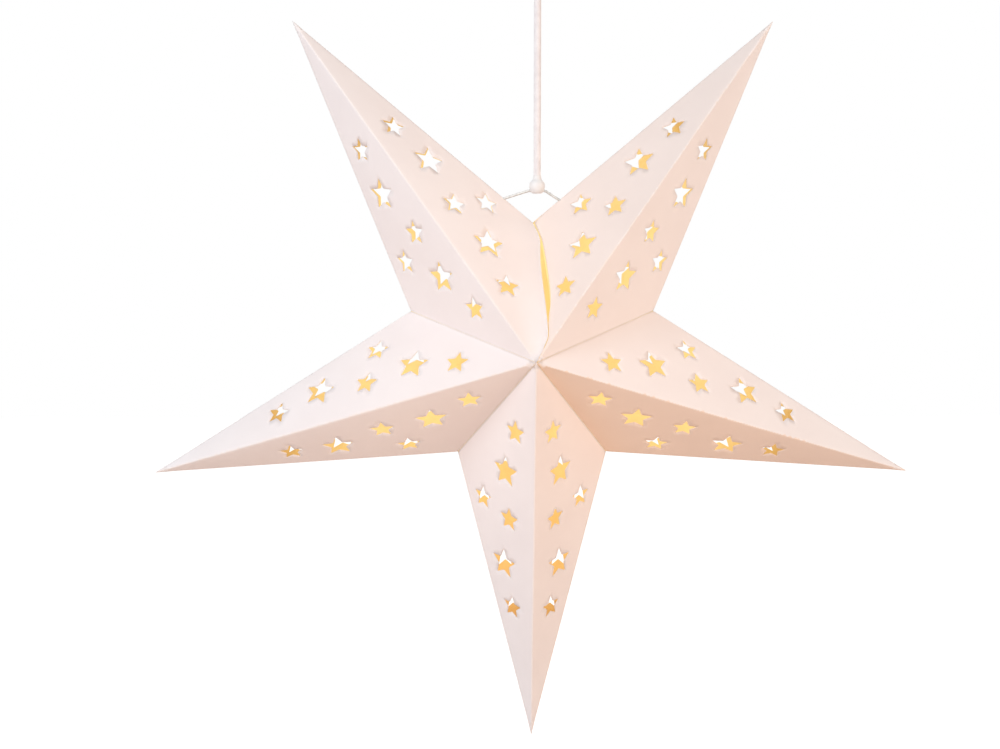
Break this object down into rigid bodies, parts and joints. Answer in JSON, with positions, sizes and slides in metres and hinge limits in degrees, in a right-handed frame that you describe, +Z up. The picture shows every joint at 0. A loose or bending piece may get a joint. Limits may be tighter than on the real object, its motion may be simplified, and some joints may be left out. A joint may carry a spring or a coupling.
{
  "type": "folded star pendant lantern",
  "caption": "Five-pointed folded-card star lantern with star cut-outs, hung on a cord by a wire bail and lit from inside by a light string.",
  "frame": {"origin": "centre of the eye at the top of the cord, where the lantern hangs on a hook", "axes": "+Z up along the cord, the star's front faces -Y, +X to the right as seen from the front"},
  "size_m": [0.6, 0.1758, 0.6143],
  "materials": {
    "card": "matt white card, slightly toothy",
    "cord_braid": "fine round braid",
    "white_moulding": "moulded, satin",
    "bail_wire": "drawn zinc-coated wire",
    "box_moulding": "moulded, fine texture",
    "slider_moulding": "moulded, satin",
    "cell_can": "bright nickel",
    "contact_metal": "nickel-plated spring strip",
    "copper_wire": "enamelled copper",
    "lamp_drop": "clear drop over a warm white lamp"
  },
  "bodies": {
    "hanging_cord": {"cord_eye": "white_moulding", "cord": "cord_braid"},
    "bead": {"cord_bead": "white_moulding"},
    "bail_wire": {"bail": "bail_wire"},
    "star": {"point_bottom": "card", "battery_box": "box_moulding", "cell_inner": "cell_can", "cell_outer": "cell_can", "contact_negative": "contact_metal", "contact_positive": "contact_metal", "light_wire": "copper_wire", "lamp_01": "lamp_drop", "lamp_02": "lamp_drop", "lamp_03": "lamp_drop", "lamp_04": "lamp_drop", "lamp_05": "lamp_drop", "lamp_06": "lamp_drop", "lamp_07": "lamp_drop", "lamp_08": "lamp_drop", "lamp_09": "lamp_drop", "lamp_10": "lamp_drop"},
    "lower_left": {"point_lower_left": "card"},
    "upper_left": {"point_upper_left": "card"},
    "lower_right": {"point_lower_right": "card"},
    "upper_right": {"point_upper_right": "card"},
    "box_cover": {"battery_cover": "box_moulding"},
    "switch": {"switch_slider": "slider_moulding"}
  },
  "joints": [
    {"name": "cord_twist", "type": "hinge", "parent": "hanging_cord", "child": "bead", "pos_m": [0, 0, -0.156], "axis": [0, 0, 1], "range_deg": [-180, 180]},
    {"name": "bail_tilt", "type": "hinge", "parent": "bead", "child": "bail_wire", "pos_m": [0, 0, -0.1647], "axis": [1, 0, 0], "range_deg": [-60, 60]},
    {"name": "star_swing", "type": "hinge", "parent": "bail_wire", "child": "star", "pos_m": [-0.0035, 0, -0.1711], "axis": [1, 0, 0], "range_deg": [-30, 30]},
    {"name": "fold_lower_left", "type": "hinge", "parent": "star", "child": "lower_left", "pos_m": [-0.0035, 0, -0.29], "axis": [0, -1, 0], "range_deg": [0, 59.5], "deforming": ["point_lower_left", "point_bottom"]},
    {"name": "fold_upper_left", "type": "hinge", "parent": "lower_left", "child": "upper_left", "pos_m": [-0.0035, 0, -0.29], "axis": [0, -1, 0], "range_deg": [0, 59.5], "deforming": ["point_upper_left"]},
    {"name": "fold_lower_right", "type": "hinge", "parent": "star", "child": "lower_right", "pos_m": [-0.0035, 0, -0.29], "axis": [0, 1, 0], "range_deg": [0, 59.5], "deforming": ["point_lower_right"]},
    {"name": "fold_upper_right", "type": "hinge", "parent": "lower_right", "child": "upper_right", "pos_m": [-0.0035, 0, -0.29], "axis": [0, 1, 0], "range_deg": [0, 59.5], "deforming": ["point_upper_right"]},
    {"name": "cover_slide", "type": "slide", "parent": "star", "child": "box_cover", "axis": [0, 0, -1], "range_m": [0, 0.024]},
    {"name": "switch_slide", "type": "slide", "parent": "star", "child": "switch", "axis": [0, 0, -1], "range_m": [0, 0.003]}
  ],
  "couplings": [
    {"joint": "fold_upper_left", "follows": "fold_lower_left", "ratio": 1},
    {"joint": "fold_lower_right", "follows": "fold_lower_left", "ratio": 1},
    {"joint": "fold_upper_right", "follows": "fold_lower_left", "ratio": 1}
  ]
}
